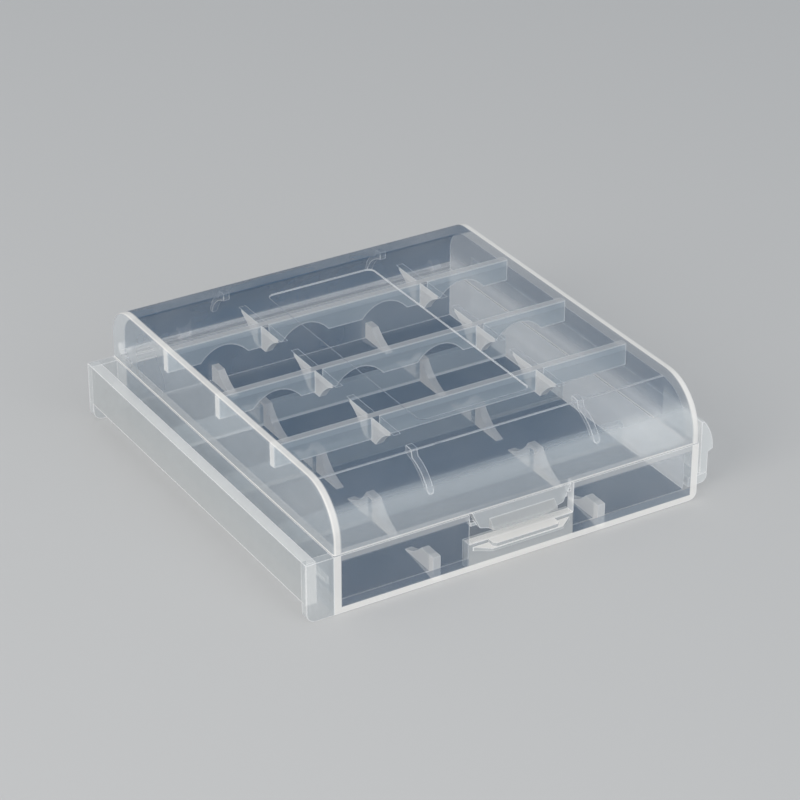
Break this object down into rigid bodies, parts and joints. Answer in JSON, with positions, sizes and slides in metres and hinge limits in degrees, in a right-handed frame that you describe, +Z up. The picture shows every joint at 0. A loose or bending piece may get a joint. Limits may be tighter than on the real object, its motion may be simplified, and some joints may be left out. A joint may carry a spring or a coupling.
{
  "type": "battery storage box",
  "caption": "Translucent hinged plastic box that holds cylindrical cells in saddles, with a snap latch and side rails that link boxes together.",
  "frame": {"origin": "centre of the tray's underside", "axes": "+Z up, +X along the latch side from rail to hook, -Y out of the latch, hinge at +Y"},
  "size_m": [0.0643, 0.0664, 0.0172],
  "materials": {
    "milky_polypropylene": "satin, translucent natural polypropylene"
  },
  "bodies": {
    "tray": {"hinge_lug_left_inner": "milky_polypropylene", "hinge_lug_left_outer": "milky_polypropylene", "hinge_lug_right_inner": "milky_polypropylene", "hinge_lug_right_outer": "milky_polypropylene", "hinge_rod_left": "milky_polypropylene", "hinge_rod_middle": "milky_polypropylene", "hinge_rod_right": "milky_polypropylene", "latch_block": "milky_polypropylene", "latch_ledge": "milky_polypropylene", "link_bead": "milky_polypropylene", "link_hook_root": "milky_polypropylene", "link_rail_end_front": "milky_polypropylene", "link_rail_end_rear": "milky_polypropylene", "link_rail_wall": "milky_polypropylene", "tray_divider_front": "milky_polypropylene", "tray_divider_middle": "milky_polypropylene", "tray_divider_rear": "milky_polypropylene", "tray_gusset_front_left": "milky_polypropylene", "tray_gusset_front_right": "milky_polypropylene", "tray_gusset_rear_left": "milky_polypropylene", "tray_gusset_rear_right": "milky_polypropylene", "tray_shell": "milky_polypropylene"},
    "lid": {"hinge_clip": "milky_polypropylene", "lid_divider_front": "milky_polypropylene", "lid_divider_middle": "milky_polypropylene", "lid_divider_rear": "milky_polypropylene", "lid_fin_front_left": "milky_polypropylene", "lid_fin_front_right": "milky_polypropylene", "lid_fin_rear_left": "milky_polypropylene", "lid_fin_rear_right": "milky_polypropylene", "lid_shell": "milky_polypropylene"},
    "latch": {"latch_tongue": "milky_polypropylene", "finger_pad": "milky_polypropylene"},
    "hook": {"link_hook": "milky_polypropylene"}
  },
  "joints": [
    {"name": "lid_hinge", "type": "hinge", "parent": "tray", "child": "lid", "pos_m": [0, 0.03258, 0.0087], "axis": [-1, 0, 0], "range_deg": [0, 180]},
    {"name": "latch_flex", "type": "hinge", "parent": "lid", "child": "latch", "pos_m": [0, -0.0313, 0.00865], "axis": [-1, 0, 0], "range_deg": [0, 10], "stiffness_Nm_per_rad": 0.02},
    {"name": "hook_flex", "type": "hinge", "parent": "tray", "child": "hook", "pos_m": [0.0301, 0, 0.0023], "axis": [0, -1, 0], "range_deg": [0, 8], "stiffness_Nm_per_rad": 0.1}
  ]
}
